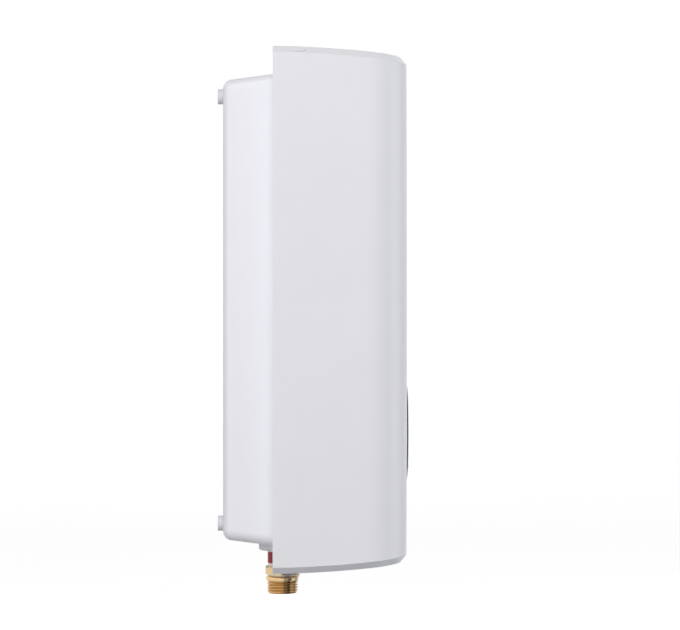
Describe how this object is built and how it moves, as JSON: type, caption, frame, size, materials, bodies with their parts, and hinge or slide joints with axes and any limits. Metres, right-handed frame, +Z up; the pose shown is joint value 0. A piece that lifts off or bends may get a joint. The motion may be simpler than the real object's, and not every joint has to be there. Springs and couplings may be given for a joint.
{
  "type": "tankless water heater",
  "caption": "Wall-hung tankless electric water heater: white cover with a round temperature dial, tapered rear shell and two threaded water pipes below.",
  "frame": {"origin": "in the wall plane, midway between the four wall screws", "axes": "+Z up, the room is towards -Y, +X to the right of someone who faces the heater"},
  "size_m": [0.2, 0.1275, 0.3601],
  "materials": {
    "cover_white": "glossy moulded ABS",
    "shell_white": "satin moulded ABS",
    "dial_light": "satin trim",
    "knob_dark": "glossy dark blue-grey",
    "pointer_white": "printed",
    "spring_steel": "plain",
    "zinc_steel": "zinc plated",
    "brass": "machined",
    "nickel": "nickel plated tube",
    "marker_red": "sleeve",
    "marker_blue": "sleeve",
    "block_grey": "glass filled, moulded",
    "lid_black": "glass filled, moulded",
    "element_steel": "drawn tube",
    "seal_rubber": "moulded",
    "strainer_grey": "moulded",
    "sensor_black": "moulded",
    "turbine_white": "moulded",
    "cutout_black": "phenolic",
    "button_red": "moulded",
    "carrier_white": "moulded",
    "board_green": "solder mask",
    "relay_black": "moulded",
    "connector_green": "moulded",
    "sink_aluminium": "extruded",
    "capacitor_sleeve": "shrunk sleeve",
    "header_cream": "moulded",
    "chip_black": "moulded",
    "pot_metal": "pressed",
    "terminal_cream": "moulded",
    "grommet_rubber": "moulded",
    "clamp_white": "moulded",
    "lead_brown": "insulation",
    "lead_black": "insulation"
  },
  "bodies": {
    "heater": {"rear_shell": "shell_white", "wall_spacers": "shell_white", "heating_block": "block_grey", "heating_block_lid": "lid_black", "heating_elements": "element_steel", "element_terminals": "brass", "block_screws": "zinc_steel", "block_mount_screws": "zinc_steel", "hot_outlet_pipe": "nickel", "hot_union_nut": "brass", "hot_nipple": "brass", "hot_marker_sleeve": "marker_red", "cold_inlet_pipe": "nickel", "cold_feed_pipe": "nickel", "cold_union_nut": "brass", "cold_nipple": "brass", "cold_marker_sleeve": "marker_blue", "pipe_seals": "seal_rubber", "inlet_strainer": "strainer_grey", "flow_sensor_body": "sensor_black", "turbine_guides": "strainer_grey", "turbine_axle": "spring_steel", "hall_sensor": "relay_black", "outlet_sensor": "spring_steel", "safety_cutout": "cutout_black", "electronics_carrier": "carrier_white", "carrier_screws": "zinc_steel", "control_board": "board_green", "board_screws": "zinc_steel", "power_relays": "relay_black", "power_connector": "connector_green", "heat_sink": "sink_aluminium", "capacitors": "capacitor_sleeve", "board_connectors": "header_cream", "board_chips": "chip_black", "potentiometer_body": "pot_metal", "terminal_block": "terminal_cream", "terminal_screws": "zinc_steel", "cable_grommet": "grommet_rubber", "cable_clamp": "clamp_white", "cable_clamp_screws": "zinc_steel", "power_leads": "lead_brown", "element_leads": "lead_black", "cover_screw": "zinc_steel"},
    "front_cover": {"front_cover": "cover_white", "dial_ring": "dial_light"},
    "dial_knob": {"temperature_knob": "knob_dark", "knob_pointer": "pointer_white", "knob_clip": "spring_steel"},
    "spindle": {"potentiometer_spindle": "pot_metal"},
    "turbine": {"flow_turbine": "turbine_white"},
    "button": {"reset_button": "button_red"}
  },
  "joints": [
    {"name": "cover_slide", "type": "slide", "parent": "heater", "child": "front_cover", "axis": [0, -1, 0], "range_m": [0, 0.1]},
    {"name": "knob_turn", "type": "hinge", "parent": "front_cover", "child": "dial_knob", "pos_m": [0, -0.12, -0.0833], "axis": [0, -1, 0], "range_deg": [-135, 135]},
    {"name": "spindle_turn", "type": "hinge", "parent": "heater", "child": "spindle", "pos_m": [0, -0.1, -0.0833], "axis": [0, -1, 0], "range_deg": [-135, 135]},
    {"name": "turbine_spin", "type": "hinge", "parent": "heater", "child": "turbine", "pos_m": [0.05, -0.0419, -0.11], "axis": [0, 0, 1], "continuous": true},
    {"name": "reset_push", "type": "slide", "parent": "heater", "child": "button", "axis": [0, 1, 0], "range_m": [0, 0.0025], "stiffness_N_per_m": 300}
  ],
  "couplings": [
    {"joint": "spindle_turn", "follows": "knob_turn", "ratio": 1}
  ]
}
